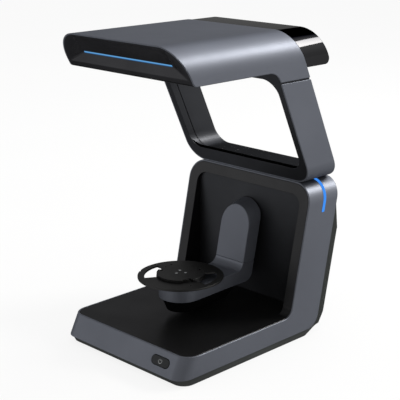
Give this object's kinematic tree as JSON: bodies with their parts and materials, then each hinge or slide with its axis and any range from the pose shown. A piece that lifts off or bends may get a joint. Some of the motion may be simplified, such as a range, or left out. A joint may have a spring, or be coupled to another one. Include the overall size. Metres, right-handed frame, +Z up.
{
  "type": "desktop 3d scanner",
  "caption": "Desktop 3D scanner: L-shaped base and column, leaning hoop with overhead camera head, and a swinging arm that carries a motorised turntable.",
  "frame": {"origin": "middle of the footprint, on the surface that the rubber feet stand on", "axes": "+Z up, -Y towards the user (front), +X to the right as seen from the front"},
  "size_m": [0.26, 0.3563, 0.4826],
  "materials": {
    "grey_shell": "satin metallic slate-grey lacquer",
    "dark_shell": "dark satin moulded plastic",
    "cover_dark": "dark grey fine-grained plastic",
    "black_plastic": "black satin plastic",
    "head_front": "black smoked panel, satin",
    "gloss_black": "piano black",
    "rubber": "matt",
    "steel": "machined or zinc-plated",
    "brass": "machined",
    "circuit_board": "green solder mask",
    "light_strip": "blue light guide",
    "optical_glass": "coated glass",
    "table_black": "black satin, moulded on metal"
  },
  "bodies": {
    "chassis": {"side_band": "grey_shell", "deck_cover": "dark_shell", "pocket_panel": "dark_shell", "bottom_cover": "cover_dark", "back_cover": "cover_dark", "port_panel": "black_plastic", "rubber_feet": "rubber", "base_plate": "steel", "board_standoffs": "brass", "main_board": "circuit_board", "dc_inlet": "black_plastic", "usb_port": "steel", "column_frame": "steel", "column_light_left": "light_strip", "column_light_right": "light_strip", "button_switch": "circuit_board", "swing_bracket": "steel", "swing_bushes": "brass", "swing_motor": "black_plastic", "hoop_band": "grey_shell", "hoop_bezel": "dark_shell", "hoop_core": "black_plastic", "hoop_liner": "dark_shell", "head_shell": "grey_shell", "head_front_panel": "head_front", "head_light_bar": "light_strip", "head_bottom_cover": "black_plastic", "head_rear_module": "gloss_black", "head_frame": "steel", "camera_left": "black_plastic", "camera_right": "black_plastic", "camera_lenses": "optical_glass", "projector": "black_plastic", "projector_lens": "optical_glass", "optics_windows": "optical_glass", "head_board": "circuit_board", "cover_screws": "steel"},
    "swing_arm": {"arm_upright": "grey_shell", "arm_base": "grey_shell", "arm_housing": "black_plastic", "table_motor": "steel", "table_bush": "brass", "swing_shaft": "steel", "swing_gear": "brass"},
    "turntable": {"turntable_plate": "table_black", "centre_disc": "table_black", "contact_pins": "steel", "turntable_spindle": "steel"},
    "swing_pinion": {"drive_pinion": "steel"},
    "button": {"power_button": "cover_dark"}
  },
  "joints": [
    {"name": "arm_swing", "type": "hinge", "parent": "chassis", "child": "swing_arm", "pos_m": [0, 0.1028, 0.162], "axis": [0, 1, 0], "range_deg": [-60, 60]},
    {"name": "turntable_spin", "type": "hinge", "parent": "swing_arm", "child": "turntable", "pos_m": [0, -0.05079, 0.1086], "axis": [0, 0, 1], "continuous": true},
    {"name": "pinion_spin", "type": "hinge", "parent": "chassis", "child": "swing_pinion", "pos_m": [0, 0.1078, 0.126], "axis": [0, 1, 0], "range_deg": [-181, 181]},
    {"name": "power_button_press", "type": "slide", "parent": "chassis", "child": "button", "axis": [0, 0.891, -0.454], "range_m": [0, 0.001], "stiffness_N_per_m": 800}
  ],
  "couplings": [
    {"joint": "pinion_spin", "follows": "arm_swing", "ratio": -3}
  ]
}
